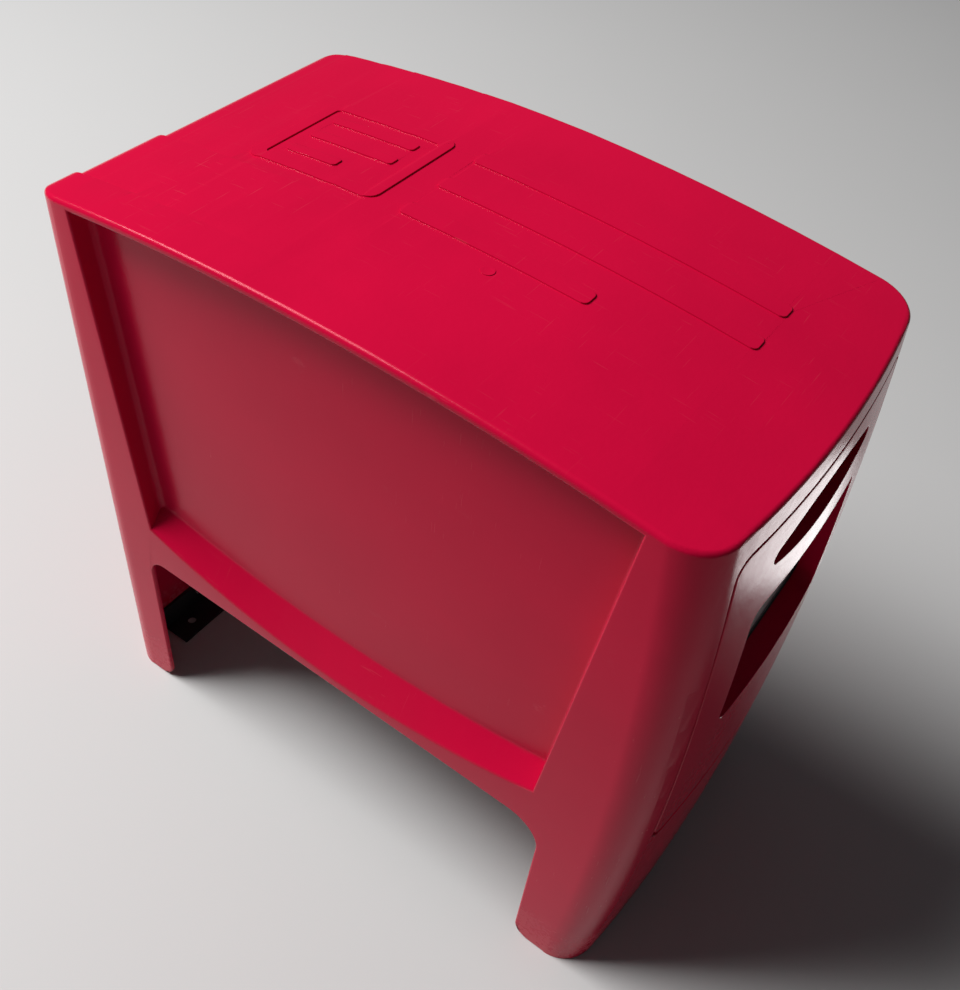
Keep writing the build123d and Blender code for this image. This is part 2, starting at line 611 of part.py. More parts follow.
def make_window_gasket():
    """A soft frame in the reveal's rebate, in front of the lens."""
    ring = window_prism(LENS_MARGIN, WINDOW_SEAT_Y, WINDOW_SEAT_Y + GASKET_THICK)
    return ring - window_prism(0, WINDOW_SEAT_Y - 1, WINDOW_SEAT_Y + GASKET_THICK + 1)


def make_window_lens():
    front = WINDOW_SEAT_Y + GASKET_THICK
    return window_prism(LENS_MARGIN, front, front + LENS_THICK)


def make_display_card():
    front = WINDOW_SEAT_Y + GASKET_THICK + LENS_THICK
    return window_prism(LENS_MARGIN, front, front + CARD_THICK)


def make_window_retainer():
    """A pressed frame: its rim lies on the reveal and its lip holds card, lens and gasket."""
    stack = GASKET_THICK + LENS_THICK + CARD_THICK
    rear = WINDOW_SEAT_Y + stack + RETAINER_SHEET
    retainer = window_prism(WINDOW_MARGIN, WINDOW_SEAT_Y, rear)
    retainer -= window_prism(LENS_MARGIN + REST_GAP, WINDOW_SEAT_Y - 1, rear - RETAINER_SHEET)
    retainer -= window_prism(0, WINDOW_SEAT_Y - 1, rear + 1)
    for x, z in retainer_places():
        retainer -= rod_y(x, z, SCREW_RADIUS, WINDOW_SEAT_Y - 1, rear + 1)
    return retainer


def make_retainer_screws():
    stack = GASKET_THICK + LENS_THICK + CARD_THICK
    head_y = WINDOW_SEAT_Y + stack + RETAINER_SHEET
    long = RETAINER_SCREW + stack + RETAINER_SHEET
    return [screw_y(x, z, head_y, long) for x, z in retainer_places()]


def make_grip_cup():
    """The finger recess's bottom: a flange on the collar and a cup behind it."""
    back = front_y(0, GRIP_Z, 0) + GRIP_DEEP
    cup = lens_prism(GRIP_COLLAR, GRIP_SEAT_Y, GRIP_SEAT_Y + GRIP_WALL)
    cup += lens_prism(GRIP_WALL, GRIP_SEAT_Y, back)
    return cup - lens_prism(0, GRIP_SEAT_Y - 1, back - GRIP_WALL)


def make_catch_strike():
    """The steel angle under the door's head flange that meets the magnet."""
    head = DOOR_HEAD_Z - DOOR_FLANGE
    face = FRAME_Y - MAGNET_THICK - REST_GAP
    leg = slab(-STRIKE_HALF, STRIKE_HALF, face - STRIKE_SHEET, face, MAGNET_FOOT_Z, head)
    arm = slab(-STRIKE_HALF, STRIKE_HALF, face - STRIKE_LONG, face, head - STRIKE_SHEET, head)
    return leg + arm


# ================================================================ paper compartment
def make_floor_pan():
    """A folded sheet tray with a flange at each side and at the rear."""
    front = FRAME_Y + FRAME_SHEET + REST_GAP
    pan = slab(-PAN_HALF, PAN_HALF, front, PAN_REAR_Y, PAN_Z, PAN_Z + PAN_FLANGE)
    inside = PAN_HALF - PAN_SHEET
    pan -= slab(-inside, inside, front - 1, PAN_REAR_Y - PAN_SHEET, PAN_Z + PAN_SHEET, PAN_Z + PAN_FLANGE + 1)
    for x in both_sides([PAN_SCREW_X]):
        for y in rail_screw_places():
            pan -= rod_z(x, y, SCREW_RADIUS, PAN_Z - 1, PAN_Z + PAN_SHEET + 1)
    for x, y in stop_screw_places():
        pan -= rod_z(x, y, SCREW_RADIUS, PAN_Z - 1, PAN_Z + PAN_SHEET + 1)
    return pan


def make_pan_rail():
    """The +X angle that carries the tray."""
    foot = slab(PANEL_X - RAIL_FOOT, PANEL_X, RAIL_FRONT_Y, RAIL_REAR_Y, PAN_Z - RAIL_SHEET, PAN_Z)
    upright = slab(PANEL_X - RAIL_SHEET, PANEL_X, RAIL_FRONT_Y, RAIL_REAR_Y, PAN_Z, PAN_Z + RAIL_HIGH)
    rail = foot + upright
    for y in rail_screw_places():
        rail -= rod_x(y, RAIL_SCREW_Z, SCREW_RADIUS, PANEL_X - RAIL_SHEET - 1, PANEL_X + 1)
        rail -= rod_z(PAN_SCREW_X, y, SCREW_RADIUS, PAN_Z - RAIL_SHEET - 1, PAN_Z + 1)
    return rail


def make_rail_screws():
    screws = []
    inner = PANEL_X - RAIL_SHEET
    for y in rail_screw_places():
        head = rod_x(y, RAIL_SCREW_Z, SCREW_HEAD_RADIUS, inner - SCREW_HEAD, inner)
        shank = rod_x(y, RAIL_SCREW_Z, SCREW_RADIUS, inner, inner + RAIL_SCREW)
        screws += pair(head + shank)
    return screws


def make_pan_screws():
    screws = []
    top = PAN_Z + PAN_SHEET
    for y in rail_screw_places():
        head = rod_z(PAN_SCREW_X, y, SCREW_HEAD_RADIUS, top, top + SCREW_HEAD)
        shank = rod_z(PAN_SCREW_X, y, SCREW_RADIUS, PAN_Z - RAIL_SHEET - PAN_TIP, top)
        screws += pair(head + shank)
    return screws


def stop_screw_places():
    """Middles of the paper stop's screws, as (x, y)."""
    y = STOP_Y + STOP_FOOT * STOP_SCREW_SHARE
    return [(x, y) for x in both_sides([STOP_HALF - STOP_SCREW_INSIDE])]


def make_stop_screws():
    screws = []
    top = PAN_Z + 2 * PAN_SHEET
    for x, y in stop_screw_places():
        head = rod_z(x, y, SCREW_HEAD_RADIUS, top, top + SCREW_HEAD)
        screws.append(head + rod_z(x, y, SCREW_RADIUS, PAN_Z - PAN_TIP, top))
    return screws


def make_paper_stop():
    """The upright plate behind the stack of papers."""
    base = PAN_Z + PAN_SHEET
    foot = slab(-STOP_HALF, STOP_HALF, STOP_Y, STOP_Y + STOP_FOOT, base, base + PAN_SHEET)
    plate = slab(-STOP_HALF, STOP_HALF, STOP_Y, STOP_Y + PAN_SHEET, base, base + STOP_HIGH)
    stop = foot + plate
    for x, y in stop_screw_places():
        stop -= rod_z(x, y, SCREW_RADIUS, base - 1, base + PAN_SHEET + 1)
    return stop


# ================================================================ anchor angles
def make_anchor_rear():
    wall = REAR_Y - WALL
    leg = slab(-ANCHOR_HALF, ANCHOR_HALF, wall - ANCHOR_SHEET, wall, 0, ANCHOR_LEG)
    foot = slab(-ANCHOR_HALF, ANCHOR_HALF, wall - ANCHOR_LEG, wall, 0, ANCHOR_SHEET)
    angle = leg + foot
    for x in both_sides([ANCHOR_SCREW_X]):
        angle -= rod_y(x, ANCHOR_SCREW_Z, SCREW_RADIUS, wall - ANCHOR_SHEET - 1, wall + 1)
    for x in both_sides([ANCHOR_HOLE_X]):
        angle -= rod_z(x, wall - ANCHOR_LEG / 2, ANCHOR_HOLE_RADIUS, -1, ANCHOR_SHEET + 1)
    return angle


def make_anchor_front():
    """The front angle follows the bowed wall."""
    depth = WALL + SEAT_GAP
    rear = front_y(0, 0, depth) + ANCHOR_LEG
    blank = slab(-ANCHOR_HALF, ANCHOR_HALF, FRONT_Y, rear, 0, ANCHOR_LEG)
    leg = front_layer(blank, depth, depth + ANCHOR_SHEET)
    foot = slab(-ANCHOR_HALF, ANCHOR_HALF, FRONT_Y, rear, 0, ANCHOR_SHEET) & form(depth)
    angle = leg + foot
    for x in both_sides([ANCHOR_SCREW_X]):
        angle -= rod_y(x, ANCHOR_SCREW_Z, SCREW_RADIUS, FRONT_Y, FRAME_Y)
    for x in both_sides([ANCHOR_HOLE_X]):
        angle -= rod_z(x, rear - ANCHOR_LEG / 2 + ANCHOR_HOLE_SHIFT, ANCHOR_HOLE_RADIUS, -1, ANCHOR_SHEET + 1)
    return angle


def make_anchor_screws():
    screws = []
    for x in both_sides([ANCHOR_SCREW_X]):
        rear_face = REAR_Y - WALL - ANCHOR_SHEET
        screws.append(screw_y(x, ANCHOR_SCREW_Z, rear_face, ANCHOR_SCREW, turn=-1))
        front_face = front_y(x, ANCHOR_SCREW_Z, WALL + SEAT_GAP + ANCHOR_SHEET) + ANCHOR_SEAT_GAP
        screws.append(screw_y(x, ANCHOR_SCREW_Z, front_face, ANCHOR_SCREW))
    return screws


# ================================================================ writing the nodes
def make_nodes():
    """Every node's shape by name."""
    nodes = {
        "body_shell": make_body_shell(),
        "door_frame": make_door_frame(),
        "door_seal": make_door_seal(),
        "frame_screws": make_frame_screws(),
        "catch_magnet": make_catch_magnet(),
        "bracket_screws": make_bracket_screws(),
        "door_panel": make_door_panel(),
        "window_gasket": make_window_gasket(),
        "window_lens": make_window_lens(),
        "display_card": make_display_card(),
        "window_retainer": make_window_retainer(),
        "retainer_screws": make_retainer_screws(),
        "grip_cup": make_grip_cup(),
        "catch_strike": make_catch_strike(),
        "floor_pan": make_floor_pan(),
        "rail_screws": make_rail_screws(),
        "pan_screws": make_pan_screws(),
        "paper_stop": make_paper_stop(),
        "stop_screws": make_stop_screws(),
        "anchor_rear": make_anchor_rear(),
        "anchor_front": make_anchor_front(),
        "anchor_screws": make_anchor_screws(),
    }
    paired = {
        "hinge_bracket": make_hinge_bracket(),
        "hinge_pin": make_hinge_pin(),
        "door_spring": make_door_spring(),
        "pan_rail": make_pan_rail(),
    }
    for name, solid in paired.items():
        right, left = pair(solid)
        nodes[name + "_right"] = right
        nodes[name + "_left"] = left
    return nodes


def main():
    os.makedirs("parts", exist_ok=True)
    for name, shape in make_nodes().items():
        if isinstance(shape, list):
            shape = Compound(children=shape)
        export_step(shape, f"parts/{name}.step")


if __name__ == "__main__":
    main()
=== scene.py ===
"""The looks of a free-standing newspaper box: shell, drop-down door, window and metal parts."""
import math

import bmesh
import bpy
from bpy.props import FloatProperty, FloatVectorProperty, IntProperty, PointerProperty
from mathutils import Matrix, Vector


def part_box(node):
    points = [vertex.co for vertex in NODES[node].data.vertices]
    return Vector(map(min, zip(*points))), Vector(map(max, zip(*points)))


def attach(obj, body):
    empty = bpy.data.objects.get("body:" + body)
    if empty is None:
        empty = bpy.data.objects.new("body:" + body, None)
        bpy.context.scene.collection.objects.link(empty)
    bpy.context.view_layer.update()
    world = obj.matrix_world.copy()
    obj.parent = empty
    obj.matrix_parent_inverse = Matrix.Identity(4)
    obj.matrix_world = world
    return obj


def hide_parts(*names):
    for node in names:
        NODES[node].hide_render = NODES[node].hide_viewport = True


bl_info = {
    "name": "Newspaper box",
    "version": (1, 0, 0),
    "blender": (4, 5, 0),
    "location": "3D View > Sidebar > Newspaper box",
    "description": "Shell, door, window and hardware of a free-standing newspaper box",
    "category": "Object",
}

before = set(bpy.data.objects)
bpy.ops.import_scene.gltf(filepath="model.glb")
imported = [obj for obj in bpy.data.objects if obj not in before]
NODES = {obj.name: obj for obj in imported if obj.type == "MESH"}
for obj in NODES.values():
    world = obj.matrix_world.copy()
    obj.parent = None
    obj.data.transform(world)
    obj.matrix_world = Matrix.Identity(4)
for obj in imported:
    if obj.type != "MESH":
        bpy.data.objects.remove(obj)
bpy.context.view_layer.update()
BOX = "box"
DOOR = "door"
SHELL_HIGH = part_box("body_shell")[1]
DOOR_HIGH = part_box("door_panel")[1]
CARD_LOW, CARD_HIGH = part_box("display_card")
SIDE_X = SHELL_HIGH.x
TOP_FROM_Z = SHELL_HIGH.z - 0.062   # above this the wall belongs to the top and its roll
DOOR_RIM_Y = DOOR_HIGH.y - 0.006    # behind this are the door's own inner edges
EMBLEM_OFF_SIDE = 0.04              # the emblem stays this far from the sides
EMBLEM_OFF_END = 0.06               # and this far from the ends
TERRACES = ((-0.155, 0.032), (-0.055, 0.116))   # x of each step in the top, y where it begins
GATE_X, GATE_Y = -0.054, -0.032     # where the mould was filled
BOX_MIDDLE = (0.0, 0.0, 0.5)
DOOR_TOP = (-0.06, -0.34, 0.65)
JOINED = 1e-5                       # points nearer than this are one point
ON_PLANE = 1e-4                     # points nearer to a plane than this lie in it
SHARP_TURN = math.radians(24)
SMOOTH_TURN = math.radians(35)


# ================================================================ settings
class StageSettings(bpy.types.PropertyGroup):
    """Floor, lights and camera."""

    floor_size: FloatProperty(
        name="Floor", description="Length of the floor's side", default=14.0, unit="LENGTH"
    )
    floor_colour: FloatVectorProperty(
        name="Floor colour", description="Pale matt floor", subtype="COLOR",
        default=(0.56, 0.555, 0.55), min=0, max=1,
    )
    room_colour: FloatVectorProperty(
        name="Room colour", description="Even light from all round", subtype="COLOR",
        default=(0.90, 0.93, 1.0), min=0, max=1,
    )
    room_strength: FloatProperty(
        name="Room strength", description="Brightness of the even light", default=0.05
    )
    key_power: FloatProperty(
        name="Key power", description="Large soft lamp over the rear left",
        default=440.0, unit="POWER",
    )
    key_size: FloatProperty(
        name="Key size", description="Side of the large lamp", default=2.6, unit="LENGTH"
    )
    key_place: FloatVectorProperty(
        name="Key place", description="Where the large lamp hangs", subtype="TRANSLATION",
        unit="LENGTH", default=(-1.3, 3.1, 4.6),
    )
    fill_power: FloatProperty(
        name="Fill power", description="Small low lamp that shines on the front's top corner",
        default=0.11, unit="POWER",
    )
    fill_size: FloatProperty(
        name="Fill size", description="Width of the small lamp, twice its height",
        default=0.40, unit="LENGTH",
    )
    fill_place: FloatVectorProperty(
        name="Fill place", description="Where the small lamp stands", subtype="TRANSLATION",
        unit="LENGTH", default=(0.47, -0.62, 0.13),
    )
    fill_spread: FloatProperty(
        name="Fill spread", description="Cone of the small lamp", subtype="ANGLE",
        default=math.radians(70),
    )
    camera_place: FloatVectorProperty(
        name="Camera", description="Where the camera stands", subtype="TRANSLATION",
        unit="LENGTH", default=(-0.7007, -0.4272, 1.2678),
    )
    camera_turn: FloatVectorProperty(
        name="Camera turn", description="How the camera is turned", subtype="EULER",
        unit="ROTATION",
        default=tuple(math.radians(turn) for turn in (42.929, -5.094, -54.438)),
    )
    camera_lens: FloatProperty(
        name="Lens", description="Focal length on a 36 mm sensor", default=40.65, unit="CAMERA"
    )


class MouldingSettings(bpy.types.PropertyGroup):
    """Moulded plastic parts."""

    red: FloatVectorProperty(
        name="Red", description="Shell and door", subtype="COLOR",
        default=(0.52, 0.003, 0.036), min=0, max=1,
    )
    red_rough: FloatProperty(
        name="Red roughness", description="Low is glossy", default=0.17, min=0, max=1
    )
    black: FloatVectorProperty(
        name="Black", description="Grip, stop frame and retainer", subtype="COLOR",
        default=(0.018, 0.018, 0.020), min=0, max=1,
    )
    side_round: FloatProperty(
        name="Side edges", description="Rounding where the recesses and arches leave the sides",
        default=0.0022, unit="LENGTH",
    )
    opening_round: FloatProperty(
        name="Opening edges", description="Rounding of the door and of its opening",
        default=0.0009, unit="LENGTH",
    )
    emblem_round: FloatProperty(
        name="Emblem edges", description="Rounding of the raised emblem",
        default=0.0005, unit="LENGTH",
    )
    edge_steps: IntProperty(
        name="Edge steps", description="Faces across a rounded edge", default=3, min=1
    )
    terrace_drop: FloatProperty(
        name="Terrace", description="How far the top steps down at the rear, at each step",
        default=0.004, unit="LENGTH",
    )
    gate_radius: FloatProperty(
        name="Gate radius", description="Mark where the mould was filled",
        default=0.0065, unit="LENGTH",
    )
    gate_high: FloatProperty(
        name="Gate height", description="How far the mark stands up", default=0.0005, unit="LENGTH"
    )


# ================================================================ shader maths
class Wire:
    """One output socket; arithmetic on it adds Math nodes."""

    def __init__(self, recipe, socket):
        self.recipe = recipe
        self.socket = socket

    def maths(self, operation, first, second):
        return self.recipe.add("ShaderNodeMath", {"operation": operation}, {0: first, 1: second})

    def __add__(self, other):
        return self.maths("ADD", self, other)

    __radd__ = __add__

    def __sub__(self, other):
        return self.maths("SUBTRACT", self, other)

    def __rsub__(self, other):
        return self.maths("SUBTRACT", other, self)

    def __mul__(self, other):
        return self.maths("MULTIPLY", self, other)

    __rmul__ = __mul__

    def __truediv__(self, other):
        return self.maths("DIVIDE", self, other)

    def __gt__(self, other):
        return self.maths("GREATER_THAN", self, other)

    def __lt__(self, other):
        return self.maths("LESS_THAN", self, other)


class Recipe:
    """A material's nodes."""

    def __init__(self, name):
        self.material = bpy.data.materials.new(name)
        self.material.use_nodes = True
        self.tree = self.material.node_tree
        self.tree.nodes.clear()
        self.place = self.add("ShaderNodeTexCoord", output="Object")

    def add(self, kind, settings=None, sockets=None, output=0):
        """Adds a node: its settings first, then its sockets' values or links."""
        node = self.tree.nodes.new(kind)
        for name, value in (settings or {}).items():
            setattr(node, name, value)
        for name, value in (sockets or {}).items():
            if isinstance(value, Wire):
                self.tree.links.new(value.socket, node.inputs[name])
            else:
                node.inputs[name].default_value = value
        return Wire(self, node.outputs[output])

    def axes(self):
        """The place on the object, in metres, as three numbers."""
        split = self.add("ShaderNodeSeparateXYZ", None, {"Vector": self.place})
        return [Wire(self, output) for output in split.socket.node.outputs]

    def noise(self, scale, detail=2.0, rough=0.5, stretch=(1, 1, 1), turn=(0, 0, 0)):
        """Soft noise from 0 to 1; scale is in waves per metre."""
        mapped = self.add(
            "ShaderNodeMapping", None, {"Vector": self.place, "Scale": stretch, "Rotation": turn}
        )
        sockets = {"Vector": mapped, "Scale": scale, "Detail": detail, "Roughness": rough}
        return self.add("ShaderNodeTexNoise", None, sockets)

    def ramp(self, value, low, high, start=0.0, end=1.0):
        """Goes smoothly from start to end as value goes from low to high."""
        settings = {"interpolation_type": "SMOOTHSTEP"}
        sockets = {
            "Value": value, "From Min": low, "From Max": high, "To Min": start, "To Max": end,
        }
        return self.add("ShaderNodeMapRange", settings, sockets)

    def mix(self, share, first, second):
        """One colour turning into another."""
        settings = {"data_type": "RGBA"}
        return self.add("ShaderNodeMix", settings, {0: share, 6: paint(first), 7: paint(second)}, 2)

    def bump(self, height, deep, strength):
        """A normal tilted as if the surface rose by deep where height is 1."""
        sockets = {"Height": height, "Distance": deep, "Strength": strength}
        return self.add("ShaderNodeBump", None, sockets, "Normal")

    def surface(self, **sockets):
        """A Principled surface; socket names are written with underscores."""
        named = {name.replace("_", " "): value for name, value in sockets.items()}
        named["Base Color"] = paint(named["Base Color"])
        return self.add("ShaderNodeBsdfPrincipled", None, named)

    def finish(self, shader):
        """Joins the shader to the material's output, and gives the material."""
        node = self.tree.nodes.new("ShaderNodeOutputMaterial")
        self.tree.links.new(shader.socket, node.inputs["Surface"])
        return self.material


def paint(colour):
    """A colour with its fourth number; a wire stays as it is."""
    return colour if isinstance(colour, Wire) else (*tuple(colour)[:3], 1.0)


def shade(colour, factor):
    """The colour made lighter or darker."""
    return tuple(min(1.0, part * factor) for part in tuple(colour)[:3])


# ================================================================ materials
def moulded_red(name, colour, gloss):
    """Glossy moulded plastic: orange peel, flow marks, fine scratches and scuffed feet."""
    recipe = Recipe(name)
    *_, z = recipe.axes()
    clouds = recipe.noise(3.2, 4, 0.55)
    flow = recipe.noise(9.0, 5, 0.6, stretch=(1.0, 0.22, 0.6))
    tint = recipe.mix(recipe.ramp(clouds, 0.3, 0.7), shade(colour, 0.93), shade(colour, 1.05))
    tint = recipe.mix(recipe.ramp(flow, 0.55, 0.8, 0.0, 0.30), tint, shade(colour, 0.84))
    first = recipe.noise(30.0, 2, 0.5, stretch=(24, 0.8, 1), turn=(0.1, 0.2, 0.5))
    second = recipe.noise(26.0, 2, 0.5, stretch=(0.7, 26, 1), turn=(0.2, 0.1, -0.35))
    where = recipe.ramp(recipe.noise(5.0, 3), 0.42, 0.7)
    scratch = (recipe.ramp(first, 0.68, 0.74) + recipe.ramp(second, 0.69, 0.75)) * where
    grit = recipe.noise(150.0, 3, 0.7)
    low = recipe.ramp(z, 0.0, 0.09, 1.0, 0.0)
    scuff = low * recipe.ramp(grit + recipe.noise(22.0, 3), 0.85, 1.2)
    pale = (0.74, 0.30, 0.30)
    tint = recipe.mix(scratch * 0.05, tint, pale)
    tint = recipe.mix(scuff * 0.30, tint, pale)
    peel = recipe.noise(210.0, 2, 0.4) * 0.6 + recipe.noise(55.0, 2, 0.5) * 0.9
    rough = gloss + recipe.ramp(flow, 0.3, 0.8, 0.0, 0.06) + scratch * 0.10 + scuff * 0.30
    rough = rough + recipe.ramp(grit, 0.35, 0.75, 0.0, 0.05)
    normal = recipe.bump(peel - scratch * 0.10 - scuff * 0.6, 0.00016, 0.75)
    return recipe.finish(
        recipe.surface(
            Base_Color=tint, Roughness=rough, Normal=normal,
            Specular_IOR_Level=0.15, Specular_Tint=(1.0, 0.45, 0.52, 1.0),
        )
    )


def moulded_black(name, colour, gloss):
    """A fine-grained black skin, a little greyed where hands and papers rub."""
    recipe = Recipe(name)
    worn = recipe.ramp(recipe.noise(14.0, 4, 0.6), 0.45, 0.75)
    grain = recipe.noise(900.0, 2, 0.6)
    tint = recipe.mix(worn * 0.5, colour, shade(colour, 2.6))
    tint = recipe.mix(recipe.ramp(grain, 0.4, 0.8, 0.0, 0.25), tint, shade(colour, 0.5))
    rough = gloss + worn * 0.12 + grain * 0.10
    normal = recipe.bump(grain, 0.00012, 0.6)
    return recipe.finish(recipe.surface(Base_Color=tint, Roughness=rough, Normal=normal))


def soft_rubber(name):
    """Dull rubber with a fine skin and a bloom of dust."""
    recipe = Recipe(name)
    dust = recipe.ramp(recipe.noise(40.0, 4, 0.65), 0.5, 0.75)
    skin = recipe.noise(1400.0, 2, 0.7)
    tint = recipe.mix(dust * 0.35, (0.012, 0.012, 0.012), (0.09, 0.085, 0.08))
    rough = 0.72 + dust * 0.16 + skin * 0.06
    return recipe.finish(
        recipe.surface(Base_Color=tint, Roughness=rough, Normal=recipe.bump(skin, 0.0001, 0.5))
    )


def zinc_plate(name):
    """Bright zinc plating with fine cloudy patches."""
    recipe = Recipe(name)
    clouds = recipe.noise(160.0, 4, 0.6)
    spots = recipe.ramp(recipe.noise(420.0, 3, 0.7), 0.62, 0.78)
    tint = recipe.mix(recipe.ramp(clouds, 0.3, 0.7), (0.60, 0.61, 0.62), (0.74, 0.73, 0.68))
    tint = recipe.mix(spots * 0.4, tint, (0.42, 0.41, 0.38))
    rough = 0.24 + clouds * 0.16 + spots * 0.18
    normal = recipe.bump(clouds - spots, 0.00005, 0.5)
    return recipe.finish(
        recipe.surface(Base_Color=tint, Metallic=1.0, Roughness=rough, Normal=normal)
    )


def galvanised_sheet(name):
    """Hot-dipped sheet with its crystal pattern and rub marks."""
    recipe = Recipe(name)
    sockets = {"Vector": recipe.place, "Scale": 95.0, "Randomness": 1.0}
    crystal = recipe.add("ShaderNodeTexVoronoi", {"feature": "F1"}, sockets, "Color")
    spangle = recipe.add("ShaderNodeSeparateColor", None, {"Color": crystal}, "Red")
    rub = recipe.noise(20.0, 4, 0.6, stretch=(0.4, 9, 1))
    tint = recipe.mix(spangle, (0.50, 0.51, 0.52), (0.66, 0.67, 0.68))
    tint = recipe.mix(recipe.ramp(rub, 0.55, 0.8, 0.0, 0.5), tint, (0.42, 0.42, 0.42))
    rough = 0.30 + spangle * 0.18 + recipe.ramp(rub, 0.5, 0.8, 0.0, 0.12)
    normal = recipe.bump(spangle + rub * 0.5, 0.00004, 0.5)
    return recipe.finish(
        recipe.surface(Base_Color=tint, Metallic=1.0, Roughness=rough, Normal=normal)
    )


def drawn_wire(name):
    """Oiled spring steel with drawing marks."""
    recipe = Recipe(name)
    marks = recipe.noise(700.0, 3, 0.6)
    oil = recipe.ramp(recipe.noise(60.0, 3), 0.4, 0.7)
    tint = recipe.mix(oil * 0.6, (0.46, 0.45, 0.44), (0.24, 0.21, 0.18))
    rough = 0.22 + marks * 0.18 - oil * 0.06
    normal = recipe.bump(marks, 0.00003, 0.6)
    return recipe.finish(
        recipe.surface(Base_Color=tint, Metallic=1.0, Roughness=rough, Normal=normal)
    )


def ferrite(name):
    """The magnet's sintered dark body with chipped grain."""
    recipe = Recipe(name)
    grain = recipe.noise(800.0, 4, 0.7)
    chips = recipe.ramp(recipe.noise(180.0, 3, 0.6), 0.62, 0.7)
    tint = recipe.mix(grain, (0.035, 0.034, 0.036), (0.075, 0.072, 0.070))
    tint = recipe.mix(chips * 0.5, tint, (0.14, 0.13, 0.125))
    rough = 0.55 + chips * 0.2
    normal = recipe.bump(grain - chips, 0.0001, 0.6)
    return recipe.finish(recipe.surface(Base_Color=tint, Roughness=rough, Normal=normal))


def clear_sheet(name):
    """Clear acrylic: seen through, with a reflection and hairline scratches."""
    recipe = Recipe(name)
    hair = recipe.noise(34.0, 2, 0.5, stretch=(20, 1, 0.8), turn=(0.0, 0.5, 0.0))
    lines = recipe.ramp(hair, 0.70, 0.74)
    haze = recipe.ramp(recipe.noise(12.0, 3), 0.5, 0.8)
    rough = 0.03 + lines * 0.3 + haze * 0.05
    gloss = recipe.surface(Base_Color=(0.93, 0.95, 0.96), Roughness=rough)
    through = recipe.add("ShaderNodeBsdfTransparent", None, {"Color": (0.97, 0.985, 0.98, 1.0)})
    edge = recipe.add("ShaderNodeLayerWeight", None, {"Blend": 0.30}, "Fresnel")
    share = 0.03 + edge * 0.75 + lines * 0.10
    return recipe.finish(recipe.add("ShaderNodeMixShader", None, {0: share, 1: through, 2: gloss}))


def printed_card(name):
    """Card printed with a plain picture of a front page: heading bar, picture and columns."""
    recipe = Recipe(name)
    x, _, z = recipe.axes()
    middle = (CARD_LOW.z + CARD_HIGH.z) / 2
    half_x = (CARD_HIGH.x - CARD_LOW.x) / 2
    half_z = (CARD_HIGH.z - CARD_LOW.z) / 2
    across, up = x / half_x, (z - middle) / half_z

    def block(left, right, low, high):
        return (across > left) * (across < right) * (up > low) * (up < high)

    rows = recipe.add("ShaderNodeMath", {"operation": "FRACT"}, {0: up * 13.0}) > 0.42
    words = recipe.noise(70.0, 1, 0.5, stretch=(1, 1, 0.02)) > 0.40
    heading = block(-0.78, 0.78, 0.50, 0.74)
    picture = block(-0.78, -0.08, -0.40, 0.38)
    columns = block(0.06, 0.78, -0.74, 0.38) + block(-0.78, -0.08, -0.74, -0.48)
    text = columns * rows * words
    fibre = recipe.noise(600.0, 4, 0.7)
    sheet = recipe.mix(fibre, (0.82, 0.80, 0.74), (0.88, 0.86, 0.81))
    hills = recipe.ramp(up - recipe.noise(18.0, 3, stretch=(1, 1, 0.1)) * 0.8, -0.55, -0.50)
    scene = recipe.mix(hills, (0.11, 0.17, 0.12), (0.46, 0.60, 0.72))
    tint = recipe.mix(heading, sheet, (0.46, 0.012, 0.03))
    tint = recipe.mix(picture, tint, scene)
    tint = recipe.mix(text * 0.85, tint, (0.05, 0.05, 0.055))
    normal = recipe.bump(fibre, 0.00005, 0.5)
    rough = 0.62 - heading * 0.12 + fibre * 0.08
    return recipe.finish(recipe.surface(Base_Color=tint, Roughness=rough, Normal=normal))


def matt_floor(name, colour):
    """Pale matt floor with the faintest mottling."""
    recipe = Recipe(name)
    clouds = recipe.noise(1.4, 4, 0.5)
    tint = recipe.mix(clouds, shade(colour, 0.985), shade(colour, 1.015))
    rough = 0.62 + clouds * 0.05
    return recipe.finish(recipe.surface(Base_Color=tint, Roughness=rough, Specular_IOR_Level=0.25))


# ================================================================ mesh work
def select_only(piece):
    """Makes the piece the one that operators work on."""
    bpy.ops.object.select_all(action="DESELECT")
    piece.select_set(True)
    bpy.context.view_layer.objects.active = piece


def closed_copy(node, name):
    """A node's shape as one closed skin in a new object."""
    piece = bpy.data.objects.new(name, NODES[node].data.copy())
    bpy.context.scene.collection.objects.link(piece)
    select_only(piece)
    bpy.ops.mesh.customdata_custom_splitnormals_clear()
    bpy.ops.object.mode_set(mode="EDIT")
    bpy.ops.mesh.select_all(action="SELECT")
    bpy.ops.mesh.remove_doubles(threshold=JOINED)
    bpy.ops.object.mode_set(mode="OBJECT")
    return piece


def round_edges(piece, chosen, offset, steps):
    """Rounds the sharp edges that chosen(edge) accepts."""
    select_only(piece)
    bpy.ops.object.mode_set(mode="EDIT")
    bpy.ops.mesh.select_mode(type="EDGE")
    bpy.ops.mesh.select_all(action="DESELECT")
    skin = bmesh.from_edit_mesh(piece.data)
    for edge in skin.edges:
        if len(edge.link_faces) == 2 and edge.calc_face_angle() > SHARP_TURN and chosen(edge):
            edge.select_set(True)
    bmesh.update_edit_mesh(piece.data)
    bpy.ops.mesh.bevel(offset=offset, segments=steps, profile=0.5, clamp_overlap=False)
    bpy.ops.mesh.select_all(action="SELECT")
    bpy.ops.mesh.remove_doubles(threshold=JOINED)
    bpy.ops.object.mode_set(mode="OBJECT")


